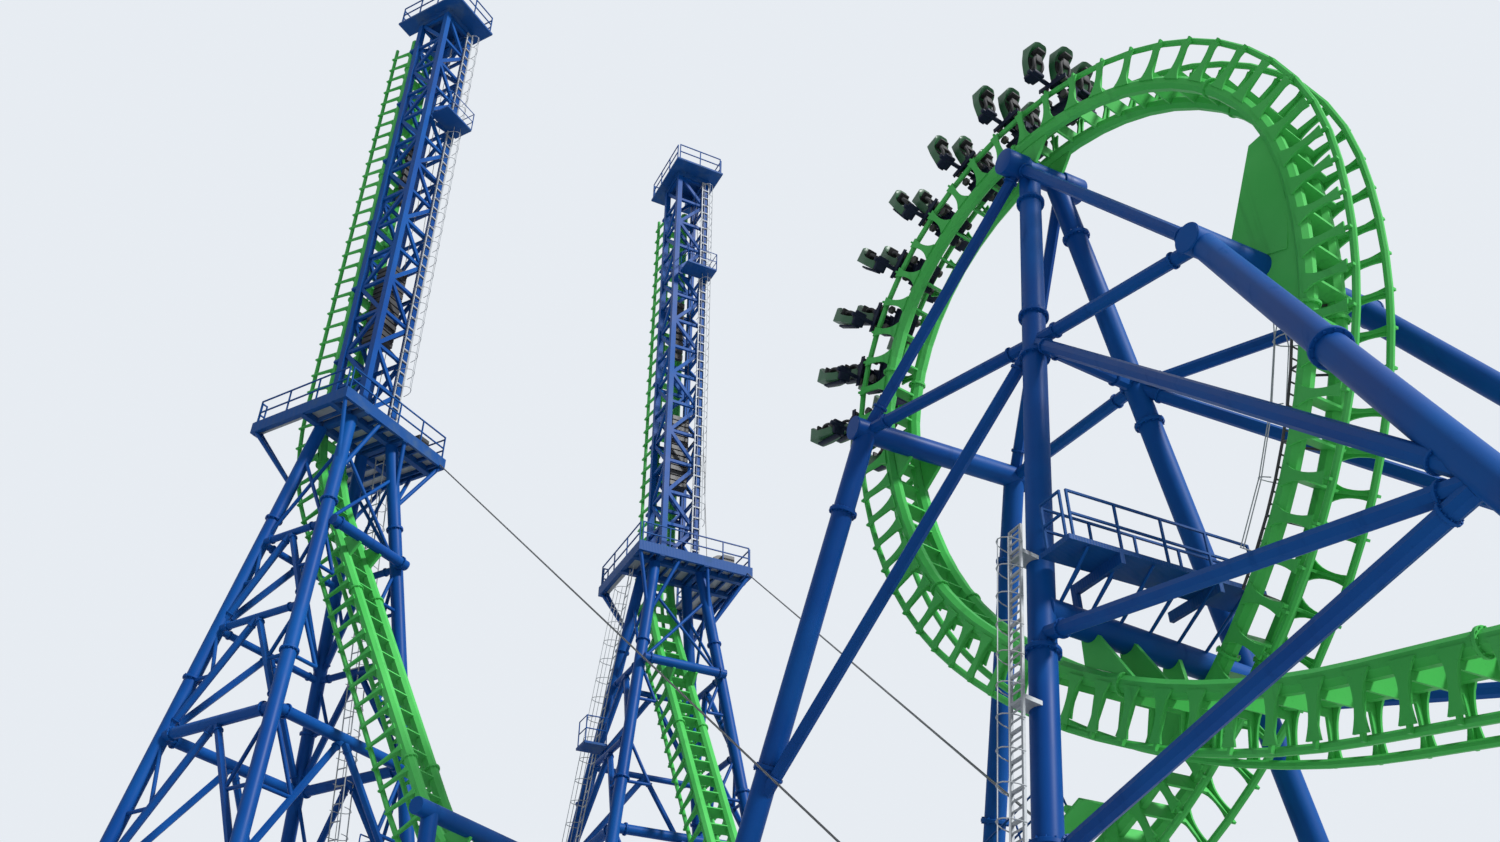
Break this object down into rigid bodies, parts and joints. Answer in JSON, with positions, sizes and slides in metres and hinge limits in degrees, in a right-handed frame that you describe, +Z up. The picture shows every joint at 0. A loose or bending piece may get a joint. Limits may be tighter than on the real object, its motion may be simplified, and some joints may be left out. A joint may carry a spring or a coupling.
{
  "type": "scale model of a looping shuttle roller coaster at 1:10",
  "caption": "Inverted looping shuttle coaster at 1:10: two lattice lift towers, a vertical loop on raked tubular supports, and a train that runs over the top of the loop.",
  "frame": {"origin": "underside of the foot plate of the loop's near main column, at ground level", "axes": "+X along the track's way out of the loop, +Y across the track from the near column to the far one, +Z up"},
  "size_m": [5.2408, 3.3396, 5.8353],
  "materials": {
    "steel_blue": "gloss paint",
    "railing_blue": "gloss paint",
    "deck_blue": "painted deck with pale grating",
    "track_green": "gloss paint",
    "galvanised": "galvanised",
    "wire_steel": "wire rope",
    "winch_dark": "dark paint",
    "chassis_navy": "satin paint",
    "wheel_black": "polyurethane tyre",
    "seat_green": "moulded shell",
    "harness_black": "moulded foam"
  },
  "bodies": {
    "structure": {"column_ladder": "galvanised", "entry_bent": "steel_blue", "entry_bent_saddle": "track_green", "exit_bent": "steel_blue", "exit_bent_saddle": "track_green", "left_trestle": "steel_blue", "loop_braces": "steel_blue", "loop_brackets": "track_green", "loop_track_rails": "track_green", "loop_track_spine": "track_green", "loop_track_ties": "track_green", "main_columns": "steel_blue", "main_crossbeams": "steel_blue", "right_bent": "steel_blue", "stay_wires": "wire_steel", "stub_bent": "steel_blue", "stub_bent_saddle": "track_green", "tower_a_base_bent": "steel_blue", "tower_a_ladder": "galvanised", "tower_a_leg_bracing": "steel_blue", "tower_a_legs": "steel_blue", "tower_a_mast_columns": "steel_blue", "tower_a_mast_lattice": "steel_blue", "tower_a_mid_platform": "deck_blue", "tower_a_mid_railing": "railing_blue", "tower_a_saddles": "track_green", "tower_a_top_platform": "deck_blue", "tower_a_top_railing": "railing_blue", "tower_a_track_rails": "track_green", "tower_a_track_spine": "track_green", "tower_a_track_ties": "track_green", "tower_a_winch": "winch_dark", "tower_b_base_bent": "steel_blue", "tower_b_ladder": "galvanised", "tower_b_leg_bracing": "steel_blue", "tower_b_legs": "steel_blue", "tower_b_mast_columns": "steel_blue", "tower_b_mast_lattice": "steel_blue", "tower_b_mid_platform": "deck_blue", "tower_b_mid_railing": "railing_blue", "tower_b_saddles": "track_green", "tower_b_top_platform": "deck_blue", "tower_b_top_railing": "railing_blue", "tower_b_track_rails": "track_green", "tower_b_track_spine": "track_green", "tower_b_track_ties": "track_green", "tower_b_winch": "winch_dark", "walkway": "deck_blue", "walkway_railing": "railing_blue"},
    "train": {"train_chassis": "chassis_navy", "train_harnesses": "harness_black", "train_seats": "seat_green", "train_wheels": "wheel_black"}
  },
  "joints": [
    {"name": "train_run", "type": "hinge", "parent": "structure", "child": "train", "pos_m": [-0.13, 0.56, 2.38], "axis": [-0.1791, 0.9838, 0], "range_deg": [0, 70]}
  ]
}
